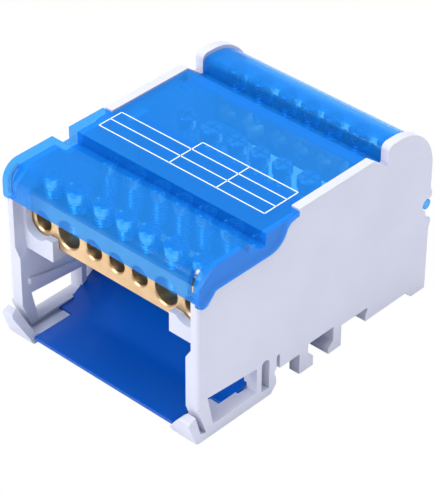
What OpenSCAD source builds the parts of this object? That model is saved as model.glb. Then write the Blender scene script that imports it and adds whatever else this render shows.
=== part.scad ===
// Four-pole power distribution block for a 35 mm DIN rail.
// Two moulded cheeks with rail feet hold four brass bars, two bent insulating shields close the
// wire chambers below them, and two hinged transparent covers close the block above.
// Lengths are in millimetres. X runs along the bars, Y from the front to the rear and Z up from
// the surface under the feet. In the profiles below, y = 0 is the face of the front wall.

/* [Block] */
// Width over the outer faces of the two cheeks
block_w = 65; // [64:0.5:75]
// Length from the front wall's face to the rear wall's face
block_l = 86; // [84:0.5:95]
// Height of the front cover's deck
deck_z = 51; // [50:0.5:58]
// Height of the rear cover's crown above the deck
crown_rise = 0.9; // [0.8:0.1:4]
// How far the cheeks stand above the rear cover
rim_rise = 0.9; // [0.5:0.1:1.2]

/* [Bars and terminals] */
// Depth of a bar, in the direction of the wires
bar_d = 8; // [7:0.1:9]
// Height of a bar
bar_h = 12; // [11.5:0.1:13]
// Distance from the wall's face to an outer bar
bar_inset = 5.5; // [5:0.1:7]
// Height of the underside of the outer bars
bar_z = 29; // [28:0.1:31]
// How much lower the inner bars lie
bar_step = 9.5; // [9.4:0.1:10.5]
// Distance from an outer bar's centre to the inner bar's centre
bar_pitch = 19.5; // [18:0.1:21]
// Bore of the five small terminals
small_bore_d = 5.3; // [4.5:0.1:5.5]
// Bore of the two large terminals
large_bore_d = 7.5; // [6.5:0.1:7.6]
// Brass left between two neighbouring bores
bore_web = 2.4; // [2:0.1:2.5]
// Height of the bores above a bar's underside
bore_rise = 5.7; // [5.4:0.1:6]
// Width of the chamfer at a bore's mouth
bore_chamfer = 0.4; // [0.2:0.05:0.5]

/* [Clamp screws] */
// Length of a clamp screw over its head
screw_l = 12.8; // [12:0.1:13]
// Height of a screw's head
screw_head_h = 3; // [2.5:0.1:3.5]
// Thread diameter of the screws in the small terminals
small_screw_d = 4.8; // [4:0.1:5]
// Thread diameter of the screws in the large terminals
large_screw_d = 5.6; // [5:0.1:6]
// How much wider a head is than its thread
screw_head_over = 0.6; // [0.2:0.1:0.8]
// How far the screws of the outer bars reach into their small bores
screw_reach = 3.1; // [2.9:0.1:4.5]
// How far the screws of the inner bars are backed out of their small bores
screw_back = 1.3; // [1.2:0.1:1.8]
// Width of the cross in a screw's head
screw_slot_w = 0.9; // [0.6:0.1:1.2]

/* [Cheeks] */
// Thickness of a cheek's wall
wall = 2.5; // [2.3:0.1:3]
// Thickness of a cheek's plinth, below the bars
plinth_t = 4.2; // [4:0.1:4.5]
// Thickness of a cheek's hooks and blocks on the rail
hook_t = 3.3; // [3:0.1:3.6]
// Width of the blocks that hold the ends of the outer bars
end_block_w = 10.2; // [9.5:0.1:10.5]
// Width of the cradles that hold the ends of the inner bars
cradle_w = 3; // [2.5:0.1:3.2]
// Thickness of the plastic in front of and behind a bar's end
cradle_t = 2.2; // [1.8:0.1:2.5]
// Thickness of the plastic under a bar's end
seat_t = 3; // [2.5:0.1:3.4]
// Radius of the notch round the bore in a bar's end, next to the bar
end_notch_r = 3.8; // [3.6:0.1:4]
// How much wider that notch is at the block's face
end_notch_flare = 0.5; // [0.3:0.1:0.6]
// Radius of the front edge of a cheek
edge_r = 1.2; // [0.8:0.1:1.5]

/* [Rail feet] */
// Width of the mounting rail
rail_w = 35; // [34.8:0.1:35.2]
// How far the rail's middle lies behind the block's middle
rail_shift = 2; // [1:0.1:3]
// Height of the face that rests on the rail
seat_z = 6.4; // [6:0.1:7]
// Thickness of the rail's flange
rail_t = 1; // [0.9:0.1:1.2]
// How far each hook reaches under the rail
hook_bite = 0.5; // [0.4:0.1:1]
// Height of the bar along the bottom of a spring foot
foot_bar_h = 3.2; // [2.8:0.1:3.6]
// Width of a foot's sole
sole_w = 8.2; // [7.5:0.1:9]
// Height of the window in a spring foot, at its front
window_h = 9.2; // [8:0.1:9.5]
// Width of the slot beside a foot's nose
slot_w = 2.8; // [2.2:0.1:3]
// How far the lip stands out in front of the wall
lip_reach = 3.3; // [2.8:0.1:3.6]
// Height of the lip
lip_h = 8.8; // [8:0.1:9.2]

/* [Covers] */
// Thickness of the covers
cover_t = 1.5; // [1.2:0.1:1.7]
// How far the skirt and flanges stand proud of the cheeks
cover_proud = 0.5; // [0.3:0.1:0.6]
// Height of the skirt's lower edge above the outer bars' underside
skirt_rise = 13; // [12.5:0.1:14]
// Outer radius between the skirt and the deck
skirt_r = 5; // [4:0.1:5.5]
// Length of the deck in front of the groove
front_deck_l = 16.8; // [16:0.1:18]
// Depth of the groove across the cover
groove_depth = 3.5; // [3:0.1:4]
// Width of the groove's sloped side
groove_slope = 3.4; // [2.5:0.1:4]
// Width of the groove's floor
groove_floor = 2.3; // [2:0.1:3]
// Length of the part of the cover that wraps round the cheeks
wrap_l = 34.5; // [34:0.1:36]
// Depth of the cover's flanges below the deck
flange_drop = 7.4; // [7:0.1:8]
// Length of the rear cover's hump
hump_l = 18; // [17.5:0.1:19.5]
// Radius of the hump's crown
crown_r = 14; // [12:0.5:15]
// Gap between the front cover and the hump
hump_gap = 5.7; // [5:0.1:6.5]
// Width of the slots in the skirt
skirt_slot_w = 1.8; // [1.5:0.1:2]

/* [Hinges] */
// Diameter of the front cover's hinge pins
front_pin_d = 2.4; // [2:0.1:2.6]
// Diameter of the rear cover's hinge pins
rear_pin_d = 3; // [2.6:0.1:3.2]
// Height of the rear cover's hinge
rear_hinge_z = 27; // [26:0.1:28]
// Width of the rear cover's hinge arms
arm_w = 1.5; // [1.2:0.1:1.6]

/* [Insulating shields] */
// Thickness of a shield
shield_t = 1; // [0.8:0.1:1.4]
// Height of a shield's floor above the surface under the feet
shield_z = 1.5; // [1.2:0.1:1.6]
// Slope of a shield where it climbs over the rail
shield_slope = 30; // [27:1:34]
// Height of the top of the barrier between the poles
barrier_top = 46; // [44:0.1:46.5]
// How far a shield's edges lie in their grooves
shield_seat = 0.8; // [0.5:0.1:1]

/* [Clearances] */
// Gap between pieces that fit together
fit = 0.15; // [0.1:0.01:0.2]
// Radial gap round a screw's thread
running_gap = 0.08; // [0.04:0.01:0.1]
// Radial gap round a hinge pin
pin_gap = 0.3; // [0.2:0.01:0.35]
// Gap between a cover and the cheeks that it moves against
cover_gap = 0.3; // [0.25:0.01:0.35]

/* [Hidden] */

$fn = 48;
cut = 0.05;
far = 200;

half_w = block_w / 2;
inner_x = half_w - wall;
plinth_x = half_w - plinth_t;
hook_x = half_w - hook_t;
sole_x = half_w - sole_w;
block_x = inner_x - end_block_w;
cradle_x = inner_x - cradle_w;

knuckle_reach = 0.7;
rear_y = block_l + knuckle_reach;
mid_y = (rear_y - lip_reach) / 2;

rail_y = block_l / 2 + rail_shift;
rail_front = rail_y - rail_w / 2;
rail_rear = rail_y + rail_w / 2;
nose_y = rail_front + hook_bite;
hook_y = rail_rear - hook_bite;

// The seven terminals of a bar: a large one second from each end.
small_pitch = small_bore_d + bore_web;
mixed_pitch = (small_bore_d + large_bore_d) / 2 + bore_web;
large_x = small_pitch + mixed_pitch;
end_x = large_x + mixed_pitch;
small_xs = [-end_x, -small_pitch, 0, small_pitch, end_x];
large_xs = [-large_x, large_x];

// The four bars, as [centre in y, underside in z], and how far each one's screws reach down.
outer_y = bar_inset + bar_d / 2;
BARS = [[outer_y, bar_z],
        [outer_y + bar_pitch, bar_z - bar_step],
        [block_l - outer_y - bar_pitch, bar_z - bar_step],
        [block_l - outer_y, bar_z]];
REACH = [screw_reach, -screw_back, -screw_back, screw_reach];

skirt_z = bar_z + skirt_rise;
skirt_y = -cover_proud / 2;
under_deck = deck_z - cover_t - cover_gap;
crown_z = deck_z + crown_rise;
wall_top = deck_z + cover_gap;
hump_y = block_l - hump_l;
plate_end = hump_y - hump_gap;
plate_x = inner_x - cover_gap;
hump_corner_r = 1.8;
tray_z = deck_z - 3.6;
groove_y = front_deck_l + groove_slope + groove_floor;
flange_x = half_w + cover_proud - cover_t;
rebate_x = flange_x - cover_gap / 2;

front_hinge = [plate_end - 1.6, deck_z - cover_t - 1];
knuckle_l = 2;
front_pin_l = 1.5;
rear_hinge = [block_l - 1.1, rear_hinge_z];
crown_c = [block_l - crown_r, crown_z - crown_r];
rear_skirt_z = skirt_z - 2;
arm_depth = 2.2;

slope_run = (seat_z + fit + shield_t - shield_z) / tan(shield_slope);
barrier_y = block_l / 2;
shield_x = plinth_x + shield_seat - fit;
spine = 3.4;
spine_top = barrier_top + 0.5;

cheek_grey = [0.86, 0.87, 0.92];
cover_blue = [0.12, 0.55, 0.95, 0.45];
shield_blue = [0.05, 0.35, 0.8];
brass = [0.85, 0.68, 0.4];
steel = [0.8, 0.81, 0.82];

// ---- Outlines ----

// Points on an arc round c, from angle a0 to angle a1.
function arc(c, r, a0, a1, n = 10) =
    [for (i = [0:n]) c + r * [cos(a0 + (a1 - a0) * i / n), sin(a0 + (a1 - a0) * i / n)]];

function unit(v) = v / norm(v);

function left_of(v) = [-v[1], v[0]];

// Point i of a path moved sideways by d, to the left of the way the path runs.
function moved(p, i, d) =
    let (a = unit(p[max(i, 1)] - p[max(i, 1) - 1]),
         b = unit(p[min(i + 1, len(p) - 1)] - p[min(i + 1, len(p) - 1) - 1]),
         n = unit(left_of(a) + left_of(b)))
    p[i] + n * d / (n * left_of(a));

function sideways(p, d) = [for (i = [0:len(p) - 1]) moved(p, i, d)];

function backwards(p) = [for (i = [len(p) - 1:-1:0]) p[i]];

// Outline of a sheet that lies between d0 and d1 to the left of a path.
function sheet(p, d0, d1) = concat(sideways(p, d0), backwards(sideways(p, d1)));

function flipped(p) = [for (q = p) [block_l - q[0], q[1]]];

// ---- Shared modules ----

// Moves the profiles' frame to the middle of the block.
module placed() translate([0, -mid_y, 0]) children();

// Extrudes a profile drawn in y and z from x0 to x1.
module along_x(x0, x1) translate([x0, 0, 0]) rotate([90, 0, 90]) linear_extrude(x1 - x0) children();

// Extrudes an outline drawn in x and z from y0 to y1.
module along_y(y0, y1) translate([0, y1, 0]) rotate([90, 0, 0]) linear_extrude(y1 - y0) children();

module box(x0, x1, y0, y1, z0, z1) translate([x0, y0, z0]) cube([x1 - x0, y1 - y0, z1 - z0]);

module rod_x(c, r, x0, x1) translate([x0, c[0], c[1]]) rotate([0, 90, 0]) cylinder(r = r, h = x1 - x0);

module rod_y(x, z, r, y0, y1) translate([x, y0, z]) rotate([-90, 0, 0]) cylinder(r = r, h = y1 - y0);

// ---- Cheeks ----

// The hump, raised by a given height and ending at a given angle of its crown.
function hump_outline(rise, last) =
    concat([[hump_y, tray_z]],
           arc([hump_y + hump_corner_r, crown_z + rise - hump_corner_r], hump_corner_r, 180, 90, 5),
           arc(crown_c + [0, rise], crown_r, 90, last, 12));

// Rear edge of a cheek, with the open socket that the rear cover's pin snaps into.
function socket_edge() =
    let (y = rear_hinge[0], z = rear_hinge[1], r = rear_pin_d / 2 + pin_gap)
    concat([[block_l, z + 5], [rear_y, z + 3.2], [rear_y, z + 2.2]],
           arc([y, z], r, 50, 245, 12),
           [[y - 0.2, z - 3.6], [rear_y - 0.2, z - 4.8], [rear_y, z - 5.9], [block_l, z - 7.8]]);

// The underside from the rear wall to the front of the fixed hook.
function rear_hook() =
    [[block_l, 0], [block_l - 5.5, 0], [block_l - 7.6, 2.3], [hook_y, 2.3],
     [hook_y, seat_z - rail_t - 1], [hook_y + 0.5, seat_z - rail_t - fit],
     [rail_rear + fit, seat_z - rail_t - fit], [rail_rear + fit, seat_z]];

// The two blocks that reach into the rail's channel, from the rear to the front.
function rail_blocks() =
    [[rail_y + 7.5, seat_z], [rail_y + 7.5, 0], [rail_y + 2.6, 0], [rail_y + 2.6, 1.6],
     [rail_y + 4.4, 3.3], [rail_y + 4.4, seat_z + 1.3], [rail_y - 5.2, seat_z + 1.3],
     [rail_y - 5.2, 5], [rail_y - 3.2, 3], [rail_y - 3.2, 0], [rail_y - 8.4, 0],
     [rail_y - 8.4, seat_z]];

// The spring foot's nose, which snaps under the rail's front flange, and the slit behind it.
function foot_nose() =
    concat([[nose_y + 1.2, seat_z]],
           arc([nose_y + 0.6, seat_z + 3.9], 0.6, 0, 180, 8),
           [[nose_y, seat_z + 0.4], [rail_front - fit, seat_z + fit],
            [rail_front - fit, seat_z - rail_t - fit], [nose_y - 0.2, seat_z - rail_t - 0.8],
            [nose_y, 2.2], [nose_y - 2, 0]]);

function wall_outline() =
    concat([[2.6, 0], [2.6, 2.6], [0, lip_h + 1], [0, skirt_z - cover_gap],
            [cover_t + cover_gap + skirt_y, skirt_z - cover_gap],
            [cover_t + cover_gap + skirt_y, skirt_z + 3], [skirt_r + 2, under_deck],
            [front_deck_l - 0.7, under_deck],
            [front_deck_l + groove_slope - 0.7, under_deck - groove_depth],
            [groove_y + cover_t + cover_gap, under_deck - groove_depth],
            [groove_y + cover_t + cover_gap, under_deck], [wrap_l + cover_gap, under_deck],
            [wrap_l + cover_gap, wall_top], [plate_end, wall_top], [hump_y - 0.6, tray_z]],
           hump_outline(rim_rise, 0), socket_edge(), rear_hook(), rail_blocks(), foot_nose());

// Lower edge of the front cover's flanges, from the skirt to the rear end of the wrap.
function flange_edge() =
    let (z = deck_z - flange_drop, lobe = 1.9)
    concat(arc([skirt_y + lobe, skirt_z + 0.3], lobe, 180, 315, 8),
           arc([6.2, z - 1.6], 1.6, 150, 90, 4),
           arc([wrap_l - 10, z + 6], 6, -90, -20, 8),
           arc([wrap_l - 10 + 9 * cos(20), z + 6 - 9 * sin(20)], 3, 150, 95, 5),
           [[wrap_l, z + 6.1]]);

module rebate() {
    edge = sideways(flange_edge(), -cover_gap);
    along_x(rebate_x, far)
        polygon(concat([[-far, edge[0][1]]], edge, [[wrap_l + cover_gap, edge[len(edge) - 1][1]],
                       [wrap_l + cover_gap, far], [-far, far]]));
}

// The window in the spring foot, with its sloped front and top.
module foot_window() {
    rear = nose_y - 2.7 - slot_w - 1.7;
    polygon([[5.2, foot_bar_h], [rear, foot_bar_h], [rear, foot_bar_h + window_h - 1.4],
             [3.2, foot_bar_h + window_h]]);
}

module foot_slot() {
    y0 = nose_y - 2.7 - slot_w;
    top = foot_bar_h + window_h - 0.6 - slot_w / 2;
    translate([y0, 2.4]) square([slot_w, top - 2.4]);
    translate([y0 + slot_w / 2, top]) circle(d = slot_w);
}

// The sole and the upturned lip at the front of a foot, by which a screwdriver pulls it.
module foot_front() {
    box(sole_x, half_w, -0.4, 12.7, 0, 2);
    intersection() {
        along_x(sole_x, half_w)
            polygon(concat([[2.8, 0]], arc([0.6, 1.9], 1.9, 270, 200, 4),
                           arc([1 - lip_reach, lip_h - 1.5], 1, 180, 90, 4),
                           [[-1, lip_h], [0.8, 2.5], [2.8, 2]]));
        along_y(-far, far)
            polygon([[sole_x, 0], [sole_x, 2], [plinth_x, lip_h - 1.6], [plinth_x + 1.6, lip_h],
                     [half_w, lip_h], [half_w, 0]]);
    }
}

// One piece of the wall's outline, thickened inwards between two places in y.
module thick(x, y0, y1, z0, z1) {
    intersection() {
        along_x(x, inner_x + cut) polygon(wall_outline());
        box(x - 1, half_w, y0, y1, z0, z1);
    }
}

module plinths() {
    top = bar_z - seat_t + cut;
    intersection() {
        thick(plinth_x, -1, nose_y - 2.7, 0, top + 1.5);
        along_y(-far, far)
            polygon([[plinth_x, -1], [plinth_x, top - 1.4], [inner_x + cut, top + 1.4],
                     [half_w, top + 1.4], [half_w, -1]]);
    }
    thick(plinth_x, rail_rear + 4, far, 0, top);
    thick(hook_x, nose_y - 2.8, rail_rear + 4.1, 0, top);
    thick(half_w - 6, rail_y + 2, rail_y + 8, 0, seat_z + 2);
    thick(plinth_x, barrier_y - spine, barrier_y + spine, seat_z + 2, spine_top);
}

// The sloped rib on the inner face above a foot's window.
module window_rib() {
    along_x(plinth_x - 0.8, plinth_x + cut)
        polygon([[2.4, foot_bar_h + window_h + 3.4], [2.4, foot_bar_h + window_h + 5],
                 [nose_y - 7, foot_bar_h + window_h + 1.6], [nose_y - 7, foot_bar_h + window_h]]);
}

// A U-shaped seat for one end of a bar whose near face is at y0, with a near and a far lip.
module cradle(x, y0, z, near_top, far_top) {
    y1 = y0 + bar_d;
    along_x(x, inner_x + cut)
        polygon([[y0 - cradle_t, z - seat_t], [y1 + cradle_t, z - seat_t],
                 [y1 + cradle_t, far_top], [y1 + fit, far_top], [y1 + fit, z - fit],
                 [y0 - fit, z - fit], [y0 - fit, near_top], [y0 - cradle_t, near_top]]);
}

// An outer bar's seat, whose lip is notched round the end terminal.
module end_block(y0) {
    bore_z = bar_z + bore_rise;
    difference() {
        cradle(block_x, y0, bar_z, bar_z + bar_h, bar_z + 2);
        translate([end_x, y0 - cradle_t, bore_z]) rotate([-90, 0, 0])
            cylinder(r1 = end_notch_r + end_notch_flare, r2 = end_notch_r, h = cradle_t);
        box(block_x - 1, end_x, y0 - cradle_t - 1, y0 - fit + cut, bore_z - 2.7, far);
        box(end_x - 1, end_x + end_notch_r, y0 - cradle_t - 1, y0 - fit + cut, bore_z, far);
    }
}

module shield_groove(path) {
    along_x(plinth_x - 1, plinth_x + shield_seat) polygon(sheet(path, -fit, shield_t + fit));
}

module round_front_edge() {
    difference() {
        box(half_w - edge_r, half_w + 1, -1, edge_r, lip_h + 1, far);
        translate([half_w - edge_r, edge_r, 0]) cylinder(r = edge_r, h = far);
    }
}

module right_cheek_body() {
    pin_r = front_pin_d / 2 + pin_gap;
    difference() {
        union() {
            along_x(inner_x, half_w) polygon(wall_outline());
            plinths();
            foot_front();
            window_rib();
            end_block(bar_inset);
            translate([0, block_l, 0]) mirror([0, 1, 0]) end_block(bar_inset);
            for (bar = [BARS[1], BARS[2]])
                cradle(cradle_x, bar[0] - bar_d / 2, bar[1], bar[1] + 2.4, bar[1] + 2.4);
        }
        along_x(sole_x - 1, far) foot_window();
        along_x(sole_x - 1, far) foot_slot();
        shield_groove(shield_path());
        shield_groove(backwards(rear_shield_path()));
        rebate();
        round_front_edge();
        // The pockets of the inner bars' ends.
        for (bar = [BARS[1], BARS[2]])
            box(cradle_x - 1, inner_x, bar[0] - bar_d / 2 - fit, bar[0] + bar_d / 2 + fit,
                bar[1] - fit, bar[1] + bar_h + fit);
        rod_x(front_hinge, pin_r, 0, plate_x + front_pin_l + cover_gap);
    }
}

module right_cheek() color(cheek_grey) placed() right_cheek_body();

module left_cheek() color(cheek_grey) placed() mirror([1, 0, 0]) right_cheek_body();

// ---- Insulating shields ----

// Underside of a shield whose rail edge is at rail_edge: a floor, a slope, a flat over the
// rail and a barrier up the middle of the block.
function shield_side(front, rail_edge) =
    let (over = seat_z + fit + shield_t, bend = 3)
    concat([[front, shield_z], [rail_edge - slope_run, shield_z], [rail_edge, over]],
           arc([barrier_y - fit / 2 - bend, over + bend], bend, -90, 0, 6),
           [[barrier_y - fit / 2, barrier_top]]);

function shield_path() = shield_side(-0.4, rail_front);

function rear_shield_path() = flipped(shield_side(0.6, block_l - rail_rear));

module shield_sheet(path) {
    along_x(-shield_x, shield_x) polygon(sheet(path, 0, shield_t));
}

module front_shield() color(shield_blue) placed() {
    difference() {
        shield_sheet(shield_path());
        for (side = [-1, 1])
            translate([side * (sole_x - fit + far / 2), 12.9 - far / 2, 0])
                cube([far, far, 2 * shield_z + 2 * shield_t], center = true);
    }
}

module rear_shield() color(shield_blue) placed() {
    shield_sheet(backwards(rear_shield_path()));
}

// ---- Covers ----

// Outer surface of the front cover, from the skirt's lower edge to the end of the plate.
function front_skin(start) =
    concat([[skirt_y, start]],
           arc([skirt_y + skirt_r, deck_z - skirt_r], skirt_r, 180, 90, 10),
           [[front_deck_l, deck_z], [front_deck_l + groove_slope, deck_z - groove_depth],
            [groove_y, deck_z - groove_depth], [groove_y, deck_z]]);

module skirt_slot() {
    x = inner_x + 0.2;
    top = skirt_y + skirt_r - cover_t;
    box(x - skirt_slot_w / 2, x + skirt_slot_w / 2, -1 - cover_proud, top, skirt_z + 1.6, far);
}

module flange() {
    edge = flange_edge();
    along_x(flange_x, half_w + cover_proud)
        polygon(concat(backwards(edge), front_skin(skirt_z + 0.3), [[wrap_l, deck_z]]));
}

module front_cover_half() {
    skin = front_skin(skirt_z);
    wrap = concat(skin, [[wrap_l, deck_z]]);
    along_x(-cut, flange_x + cut) polygon(sheet(wrap, 0, -cover_t));
    flange();
    box(-cut, plate_x, wrap_l - cut, plate_end, deck_z - cover_t, deck_z);
    intersection() {
        rod_x(front_hinge, deck_z - front_hinge[1], plate_x - knuckle_l, plate_x);
        box(0, far, front_hinge[0] - 1.6, plate_end, front_hinge[1] - 1.6, deck_z);
    }
    rod_x(front_hinge, front_pin_d / 2, plate_x - cut, plate_x + front_pin_l);
}

module front_cover() color(cover_blue) placed() {
    for (side = [0, 1]) mirror([side, 0, 0]) difference() {
        front_cover_half();
        skirt_slot();
    }
}

// Outer surface of the rear cover, from its tray over the hump to its rear skirt's lower edge.
function rear_skin() =
    concat([[plate_end + 2, tray_z]],
           hump_outline(0, asin((rear_skirt_z - crown_c[1]) / crown_r)));

module hinge_arm() {
    arm = concat(arc(crown_c, crown_r, 30, 0, 4), [[block_l, rear_hinge[1]]]);
    along_x(plate_x - arm_w, plate_x) polygon(sheet(arm, 0, -arm_depth));
    rod_x(rear_hinge, rear_pin_d / 2, plate_x - arm_w, half_w - fit);
}

module rear_cover() color(cover_blue) placed() {
    along_x(-plate_x, plate_x) polygon(sheet(rear_skin(), 0, -cover_t));
    for (side = [0, 1]) mirror([side, 0, 0]) hinge_arm();
}

// ---- Bars and clamp screws ----

module terminal_bore(x, d) {
    z = bore_rise;
    chamfer_h = bore_chamfer + cut;
    rod_y(x, z, d / 2, -bar_d, bar_d);
    for (side = [0, 1]) mirror([0, side, 0])
        translate([x, -bar_d / 2 - cut, z]) rotate([-90, 0, 0])
            cylinder(r1 = d / 2 + chamfer_h, r2 = d / 2, h = chamfer_h);
}

module screw_bore(x, d) {
    translate([x, 0, bore_rise]) cylinder(d = d + 2 * running_gap, h = bar_h);
}

module busbar(index) color(brass) placed() translate([0, BARS[index][0], BARS[index][1]]) {
    length = 2 * (inner_x - fit);
    difference() {
        translate([-length / 2, -bar_d / 2, 0]) cube([length, bar_d, bar_h]);
        for (x = small_xs) {
            terminal_bore(x, small_bore_d);
            screw_bore(x, small_screw_d);
        }
        for (x = large_xs) {
            terminal_bore(x, large_bore_d);
            screw_bore(x, large_screw_d);
        }
    }
}

// A slotted clamp screw that stands with its tip at z = 0.
module clamp_screw(d) {
    head_d = d + screw_head_over;
    tip = 0.5;
    difference() {
        union() {
            cylinder(r1 = d / 2 - tip, r2 = d / 2, h = tip);
            translate([0, 0, tip]) cylinder(d = d, h = screw_l - tip - cut);
            translate([0, 0, screw_l - screw_head_h]) cylinder(d = head_d, h = screw_head_h);
        }
        for (turn = [0, 90]) rotate([0, 0, turn])
            translate([-head_d * 0.34, -screw_slot_w / 2, screw_l - 1.4])
                cube([head_d * 0.68, screw_slot_w, 2]);
        translate([-head_d, -screw_slot_w / 2, screw_l - 0.9])
            cube([2 * head_d, screw_slot_w, 2]);
    }
}

module clamp_screws(index, xs, d) color(steel) placed() {
    tip_z = BARS[index][1] + bore_rise + small_bore_d / 2 - REACH[index];
    for (x = xs) translate([x, BARS[index][0], tip_z]) clamp_screw(d);
}

module small_screws(index) clamp_screws(index, small_xs, small_screw_d);

module large_screws(index) clamp_screws(index, large_xs, large_screw_d);

left_cheek();
right_cheek();
front_shield();
rear_shield();
front_cover();
rear_cover();
busbar(0);  // busbar_1
busbar(1);  // busbar_2
busbar(2);  // busbar_3
busbar(3);  // busbar_4
small_screws(0);  // small_screws_1
small_screws(1);  // small_screws_2
small_screws(2);  // small_screws_3
small_screws(3);  // small_screws_4
large_screws(0);  // large_screws_1
large_screws(1);  // large_screws_2
large_screws(2);  // large_screws_3
large_screws(3);  // large_screws_4
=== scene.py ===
"""Four-pole power distribution block: clear blue covers, brass bars and light-grey cheeks."""

import bmesh
import bpy
import numpy as np
from mathutils import Matrix, Vector


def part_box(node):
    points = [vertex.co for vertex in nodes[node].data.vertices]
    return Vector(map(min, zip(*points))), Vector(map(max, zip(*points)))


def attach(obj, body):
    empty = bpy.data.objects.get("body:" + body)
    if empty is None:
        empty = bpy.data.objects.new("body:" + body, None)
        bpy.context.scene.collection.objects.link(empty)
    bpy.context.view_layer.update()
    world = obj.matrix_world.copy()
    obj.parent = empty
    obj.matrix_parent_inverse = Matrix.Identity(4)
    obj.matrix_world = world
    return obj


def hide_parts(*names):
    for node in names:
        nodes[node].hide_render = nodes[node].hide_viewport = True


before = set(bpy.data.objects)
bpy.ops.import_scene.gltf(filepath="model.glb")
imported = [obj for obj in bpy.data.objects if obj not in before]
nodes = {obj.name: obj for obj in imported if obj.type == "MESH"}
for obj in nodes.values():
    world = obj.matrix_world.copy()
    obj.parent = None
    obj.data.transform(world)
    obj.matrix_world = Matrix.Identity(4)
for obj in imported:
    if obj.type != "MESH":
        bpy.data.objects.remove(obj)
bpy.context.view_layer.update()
MM = 0.001

# The block's front wall lies this far in front of the origin.
FRONT = 41.7 * MM


# ---- Colours and nodes ----


def colour(hex_code):
    """Linear RGBA of an sRGB hex colour."""
    c = np.array([int(hex_code[i : i + 2], 16) for i in (1, 3, 5)]) / 255
    linear = np.where(c <= 0.04045, c / 12.92, ((c + 0.055) / 1.055) ** 2.4)
    return (*map(float, linear), 1.0)


def add(tree, kind, links=None, **settings):
    """Adds a node, sets its properties or input values, and links the named inputs."""
    made = tree.nodes.new(kind)
    for key, value in settings.items():
        if hasattr(made, key):
            setattr(made, key, value)
        else:
            made.inputs[key.replace("_", " ")].default_value = value
    for key, source in (links or {}).items():
        tree.links.new(source, made.inputs[key])
    return made


def new_material(name):
    """An empty material, with its node tree and its output node."""
    made = bpy.data.materials.new(name)
    made.use_nodes = True
    made.node_tree.nodes.clear()
    return made, made.node_tree, made.node_tree.nodes.new("ShaderNodeOutputMaterial")


def grain(tree, scale, detail, stretch=(1, 1, 1)):
    """Noise on Object coordinates: scale cycles a metre, stretched along the axes."""
    place = add(tree, "ShaderNodeTexCoord")
    turned = add(tree, "ShaderNodeMapping", {"Vector": place.outputs["Object"]}, Scale=stretch)
    return add(
        tree, "ShaderNodeTexNoise", {"Vector": turned.outputs[0]}, Scale=scale, Detail=detail
    )


def spread(tree, source, low, high):
    """Maps the middle half of a noise to the range from low to high."""
    made = add(tree, "ShaderNodeMapRange", {"Value": source.outputs["Fac"]})
    for key, value in (("From Min", 0.3), ("From Max", 0.7), ("To Min", low), ("To Max", high)):
        made.inputs[key].default_value = value
    return made.outputs["Result"]


def moulded_polyamide():
    """Light-grey polyamide from a spark-eroded mould: matt, with a fine even texture."""
    made, tree, out = new_material("moulded_polyamide_light_grey")
    cloud = grain(tree, 60, 3)
    mix = add(
        tree,
        "ShaderNodeMixRGB",
        {"Fac": spread(tree, cloud, 0, 1)},
        Color1=colour("#D3D5E3"),
        Color2=colour("#D8DAE8"),
    )
    # The mould's erosion marks are about 0.15 mm apart.
    fine = grain(tree, 5200, 2)
    bump = add(tree, "ShaderNodeBump", {"Height": fine.outputs["Fac"]}, Strength=0.10)
    bump.inputs["Distance"].default_value = 0.05 * MM
    skin = add(
        tree,
        "ShaderNodeBsdfPrincipled",
        {
            "Base Color": mix.outputs[0],
            "Normal": bump.outputs[0],
            "Roughness": spread(tree, fine, 0.42, 0.5),
        },
        IOR=1.53,
    )
    tree.links.new(skin.outputs[0], out.inputs["Surface"])
    return made


def clear_polycarbonate(name, tint, shade, milk, roughness):
    """Tinted polycarbonate from a polished mould: light passes straight through its thin wall
    and takes its colour, a little is scattered back, and the surface mirrors the lamps."""
    made, tree, out = new_material(name)
    waves = grain(tree, 70, 1)
    bump = add(tree, "ShaderNodeBump", {"Height": waves.outputs["Fac"]}, Strength=0.12)
    bump.inputs["Distance"].default_value = 0.4 * MM
    through = add(tree, "ShaderNodeBsdfTransparent", Color=colour(tint))
    body = add(
        tree,
        "ShaderNodeBsdfPrincipled",
        {"Normal": bump.outputs[0]},
        Base_Color=colour(shade),
        Roughness=roughness,
        IOR=1.58,
    )
    # Seen edge on, the wall is thick and shows its own colour.
    edge = add(tree, "ShaderNodeLayerWeight", Blend=0.35)
    share = add(tree, "ShaderNodeMapRange", {"Value": edge.outputs["Facing"]})
    share.inputs["To Min"].default_value = milk
    share.inputs["To Max"].default_value = min(1.0, milk + 0.45)
    mixed = add(tree, "ShaderNodeMixShader", {"Fac": share.outputs["Result"]})
    tree.links.new(through.outputs[0], mixed.inputs[1])
    tree.links.new(body.outputs[0], mixed.inputs[2])
    tree.links.new(mixed.outputs[0], out.inputs["Surface"])
    return made


def drawn_brass():
    """Brass bar as drawn: a metal with fine lines along X and a soft satin shine."""
    made, tree, out = new_material("drawn_brass")
    lines = grain(tree, 900, 3, (0.03, 1, 1))
    patches = grain(tree, 160, 2)
    mix = add(
        tree,
        "ShaderNodeMixRGB",
        {"Fac": spread(tree, patches, 0, 1)},
        Color1=colour("#DDB685"),
        Color2=colour("#E9CBA0"),
    )
    bump = add(tree, "ShaderNodeBump", {"Height": lines.outputs["Fac"]}, Strength=0.15)
    bump.inputs["Distance"].default_value = 0.03 * MM
    metal = add(
        tree,
        "ShaderNodeBsdfPrincipled",
        {
            "Base Color": mix.outputs[0],
            "Normal": bump.outputs[0],
            "Roughness": spread(tree, lines, 0.28, 0.42),
        },
        Metallic=1.0,
    )
    tree.links.new(metal.outputs[0], out.inputs["Surface"])
    return made


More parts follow.
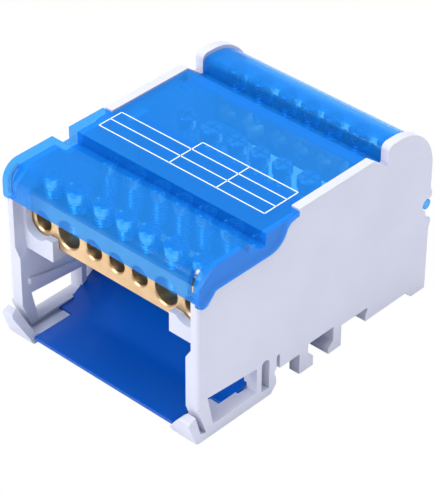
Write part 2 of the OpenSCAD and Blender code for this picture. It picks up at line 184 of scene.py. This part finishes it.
def zinc_plated_steel():
    """Turned steel with bright zinc plating: a cool metal with faint turning rings."""
    made, tree, out = new_material("zinc_plated_steel")
    rings = grain(tree, 2600, 2, (0.2, 0.2, 1))
    bump = add(tree, "ShaderNodeBump", {"Height": rings.outputs["Fac"]}, Strength=0.1)
    bump.inputs["Distance"].default_value = 0.02 * MM
    metal = add(
        tree,
        "ShaderNodeBsdfPrincipled",
        {"Normal": bump.outputs[0], "Roughness": spread(tree, rings, 0.2, 0.32)},
        Metallic=1.0,
        Base_Color=colour("#E4E6EA"),
    )
    tree.links.new(metal.outputs[0], out.inputs["Surface"])
    return made


def screen_ink():
    """White screen-printing ink: a thin matt film."""
    made, tree, out = new_material("white_screen_ink")
    fleck = grain(tree, 3000, 2)
    ink = add(
        tree,
        "ShaderNodeBsdfPrincipled",
        {"Roughness": spread(tree, fleck, 0.45, 0.6)},
        Base_Color=colour("#EEF4FF"),
    )
    tree.links.new(ink.outputs[0], out.inputs["Surface"])
    return made


housing = moulded_polyamide()
cover = clear_polycarbonate("clear_blue_polycarbonate", "#A8E4FF", "#189CF8", 0.24, 0.13)
shield = clear_polycarbonate("blue_insulating_sheet", "#2F8FE6", "#0062CE", 0.75, 0.22)
brass = drawn_brass()
zinc = zinc_plated_steel()
ink = screen_ink()


# ---- Pieces ----


def piece(name, body, material, points, faces):
    """A new object from arrays of points, in metres, and faces, riding on a body."""
    mesh = bpy.data.meshes.new(name)
    mesh.from_pydata(np.asarray(points).tolist(), [], [list(map(int, face)) for face in faces])
    mesh.materials.append(material)
    mesh.update()
    made = bpy.data.objects.new(name, mesh)
    bpy.context.scene.collection.objects.link(made)
    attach(made, body)
    return made


def softened(node, body, material, radius):
    """The node's own solid with its doubles merged and its sharp edges rounded by radius."""
    mesh = nodes[node].data.copy()
    mesh.name = node + "_moulding"
    work = bmesh.new()
    work.from_mesh(mesh)
    bmesh.ops.remove_doubles(work, verts=work.verts, dist=0.002 * MM)
    bmesh.ops.dissolve_limit(
        work, angle_limit=np.radians(1.0), verts=work.verts, edges=work.edges
    )
    work.to_mesh(mesh)
    work.free()
    mesh.materials.clear()
    mesh.materials.append(material)
    for flat in mesh.polygons:
        flat.use_smooth = True
        flat.material_index = 0
    made = bpy.data.objects.new(node + "_moulding", mesh)
    bpy.context.scene.collection.objects.link(made)
    bevel = made.modifiers.new("edges", "BEVEL")
    bevel.width = radius
    bevel.segments = 2
    bevel.limit_method = "ANGLE"
    bevel.angle_limit = np.radians(38)
    bevel.use_clamp_overlap = True
    bevel.miter_outer = "MITER_SHARP"
    # The flat walls keep their own normals, so only the rounded edges shade softly.
    even = made.modifiers.new("even_walls", "WEIGHTED_NORMAL")
    even.mode = "FACE_AREA"
    even.weight = 100
    even.keep_sharp = True
    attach(made, body)
    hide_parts(node)
    return made


for name in ("left_cheek", "right_cheek"):
    softened(name, "block", housing, 0.35 * MM)
softened("front_cover", "front_cover_body", cover, 0.3 * MM)
softened("rear_cover", "rear_cover_body", cover, 0.3 * MM)
for name in ("front_shield", "rear_shield"):
    softened(name, "block", shield, 0.15 * MM)
for number in (1, 2, 3, 4):
    softened(f"busbar_{number}", "block", brass, 0.15 * MM)


# ---- Threaded clamp screws ----

AROUND = 36
THREAD_ROWS = 64
PITCH = 0.9 * MM
HEAD_H = 3 * MM
NECK_H = 0.4 * MM
CHAMFER = 0.3 * MM
TIP_H = 0.6 * MM


def revolved(rows, turns=AROUND):
    """Quads between neighbouring rings of a grid that closes round its axis, and end caps."""
    i, j = np.meshgrid(np.arange(rows - 1), np.arange(turns), indexing="ij")
    a = i * turns + j
    b = i * turns + (j + 1) % turns
    quads = np.stack([a, b, b + turns, a + turns], -1).reshape(-1, 4).tolist()
    return quads + [list(range(turns))[::-1], list(range((rows - 1) * turns, rows * turns))]


def threaded_screw(low, high, radius, head_radius, head_low):
    """A screw as radius(angle, height): a 60 degree thread below the head, whose depth fades
    at the tip, and a plain cylinder with a small chamfer for the head."""
    thread_top = head_low - NECK_H
    z = np.concatenate(
        [
            np.linspace(low, thread_top, THREAD_ROWS),
            [head_low, head_low, head_low + CHAMFER, high - CHAMFER, high],
        ]
    )
    angle = np.linspace(0, 2 * np.pi, AROUND, endpoint=False)
    height, turn = np.meshgrid(z, angle, indexing="ij")
    ramp = (height / PITCH - turn / (2 * np.pi)) % 1.0
    depth = 0.5 * PITCH * np.abs(2 * ramp - 1)
    fade = np.clip((thread_top - height) / (0.6 * PITCH), 0, 1)
    tip = np.clip((low + TIP_H - height) / TIP_H, 0, 1) * 0.5 * MM
    r = radius - depth * fade - tip
    head = r[THREAD_ROWS:]
    head[0] = radius
    head[1] = head_radius - 0.2 * MM
    head[2:4] = head_radius
    head[4] = head_radius - CHAMFER
    return np.stack([r * np.cos(turn), r * np.sin(turn), height], -1).reshape(-1, 3), len(z)


def slot_cut(made, centres, high, head_radius):
    """Cuts the slot and the shorter cross recess into the screw heads."""
    cutters = bmesh.new()
    for x, y in centres:
        for length, width, depth, turn in (
            (2.4 * head_radius, 0.9 * MM, 0.9 * MM, 0.0),
            (1.36 * head_radius, 0.9 * MM, 1.4 * MM, np.pi / 2),
            (1.36 * head_radius, 0.9 * MM, 1.4 * MM, 0.0),
        ):
            matrix = (
                Matrix.Translation(Vector((x, y, high)))
                @ Matrix.Rotation(turn, 4, "Z")
                @ Matrix.Diagonal((length, width, 2 * depth, 1.0))
            )
            bmesh.ops.create_cube(cutters, size=1.0, matrix=matrix)
    mesh = bpy.data.meshes.new("slots")
    cutters.to_mesh(mesh)
    cutters.free()
    tool = bpy.data.objects.new("slots", mesh)
    bpy.context.scene.collection.objects.link(tool)
    cut = made.modifiers.new("slots", "BOOLEAN")
    cut.operation = "DIFFERENCE"
    cut.solver = "EXACT"
    cut.object = tool
    cut.use_self = True
    view = bpy.context.evaluated_depsgraph_get()
    baked = bpy.data.meshes.new_from_object(made.evaluated_get(view))
    made.modifiers.clear()
    made.data = baked
    bpy.data.objects.remove(tool)


def screw_row(node, count, radius):
    """The screws of one bar that share a thread size, from the node's own box."""
    low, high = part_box(node)
    head_radius = radius + 0.3 * MM
    y = (low[1] + high[1]) / 2
    span = (high[0] - low[0]) / 2 - head_radius
    if count == 5:
        step = 7.7 * MM
        xs = [-span, -step, 0.0, step, span]
    else:
        xs = [-span, span]
    points, faces, offset = [], [], 0
    for x in xs:
        ring, rows = threaded_screw(low[2], high[2], radius, head_radius, high[2] - HEAD_H)
        points.append(ring + np.array([x, y, 0]))
        faces += [[k + offset for k in f] for f in revolved(rows)]
        offset += len(ring)
    made = piece(node + "_threaded", "block", zinc, np.vstack(points), faces)
    slot_cut(made, [(x, y) for x in xs], high[2], head_radius)
    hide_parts(node)


for number in (1, 2, 3, 4):
    screw_row(f"small_screws_{number}", 5, 2.4 * MM)
    screw_row(f"large_screws_{number}", 2, 2.8 * MM)


# ---- Printed table on the front cover ----


def strips(rects, low, high):
    """Flat bars between two heights, one for each (x0, x1, y0, y1)."""
    x0, x1, y0, y1 = np.array(rects).T
    outline = np.stack([np.stack(p, -1) for p in ((x0, y0), (x1, y0), (x1, y1), (x0, y1))], 1)
    rings = [np.dstack([outline, np.full(outline.shape[:2], z)]) for z in (low, high)]
    points = np.concatenate(rings, 1).reshape(-1, 3)
    sides = np.array(
        [[3, 2, 1, 0], [4, 5, 6, 7], [0, 1, 5, 4], [1, 2, 6, 5], [2, 3, 7, 6], [3, 0, 4, 7]]
    )
    faces = (np.arange(len(rects))[:, None, None] * 8 + sides).reshape(-1, 4)
    return points, faces


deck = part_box("front_cover")[1][2]
LINE = 0.32 * MM


def rule_x(x0, x1, y):
    """A printed line along X, in millimetres from the block's front."""
    return (x0 * MM, x1 * MM, y * MM - FRONT - LINE / 2, y * MM - FRONT + LINE / 2)


def rule_y(x, y0, y1):
    """A printed line along Y."""
    return (x * MM - LINE / 2, x * MM + LINE / 2, y0 * MM - FRONT, y1 * MM - FRONT)


table = [rule_x(-28, 27.4, y) for y in (28.2, 32.2, 36.2)] + [rule_x(-3.9, 27.4, 40.2)]
table += [rule_y(-28, 28.2, 36.2), rule_y(-3.9, 28.2, 40.2), rule_y(11.7, 28.2, 40.2)]
table += [rule_y(27.4, 28.2, 40.2)]
points, faces = strips(table, deck - 0.02 * MM, deck + 0.03 * MM)
piece("printed_table", "front_cover_body", ink, points, faces)


# ---- Floor, backdrop, light and camera ----

floor_mat, tree, out = new_material("white_paper_sweep")
paper = add(tree, "ShaderNodeBsdfDiffuse", Color=colour("#FAFAFC"))
glow = add(tree, "ShaderNodeEmission", Color=colour("#FFFFFF"), Strength=1.0)
path = add(tree, "ShaderNodeLightPath")
seen = add(tree, "ShaderNodeMixShader", {"Fac": path.outputs["Is Camera Ray"]})
tree.links.new(paper.outputs[0], seen.inputs[1])
tree.links.new(glow.outputs[0], seen.inputs[2])
tree.links.new(seen.outputs[0], out.inputs["Surface"])

bpy.ops.mesh.primitive_plane_add(size=4.0, location=(0, 0, -0.0002))
floor = bpy.context.active_object
floor.name = "paper_sweep"
floor.data.materials.append(floor_mat)

world = bpy.data.worlds.new("studio")
bpy.context.scene.world = world
world.use_nodes = True
world.node_tree.nodes["Background"].inputs["Color"].default_value = colour("#F2F5FF")
world.node_tree.nodes["Background"].inputs["Strength"].default_value = 0.5


def lamp(name, place, target, size, power, hex_code="#FFFFFF"):
    """A square soft box at place, facing target."""
    data = bpy.data.lights.new(name, "AREA")
    data.size = size
    data.energy = power
    data.color = colour(hex_code)[:3]
    made = bpy.data.objects.new(name, data)
    made.location = place
    made.rotation_euler = (Vector(target) - Vector(place)).to_track_quat("-Z", "Y").to_euler()
    bpy.context.scene.collection.objects.link(made)


lamp("front_box", (-0.25, -0.75, 0.55), (0, 0, 0.02), 0.5, 4.4)
lamp("top_box", (0.05, 0.1, 0.9), (0, 0, 0.03), 0.7, 5.6)
lamp("rear_box", (0.1, 0.8, 0.6), (0, 0, 0.04), 0.35, 1.6)

# Columns: the camera's right, its up and its backward direction.
right = np.array([0.73190, 0.68140, 0.00409])
up = np.array([-0.40477, 0.42992, 0.80705])
look = np.array([-0.54817, 0.59233, -0.59047])
camera = bpy.data.objects.new("camera", bpy.data.cameras.new("camera"))
turn = Matrix([[right[k], up[k], -look[k]] for k in range(3)]).to_4x4()
camera.matrix_world = Matrix.Translation((0.3364, -0.3220 - FRONT, 0.3826)) @ turn
camera.data.sensor_fit = "HORIZONTAL"
camera.data.sensor_width = 36.0
camera.data.lens = 200.69
camera.data.clip_start = 0.01
bpy.context.scene.collection.objects.link(camera)
bpy.context.scene.camera = camera
bpy.context.scene.view_settings.view_transform = "Standard"
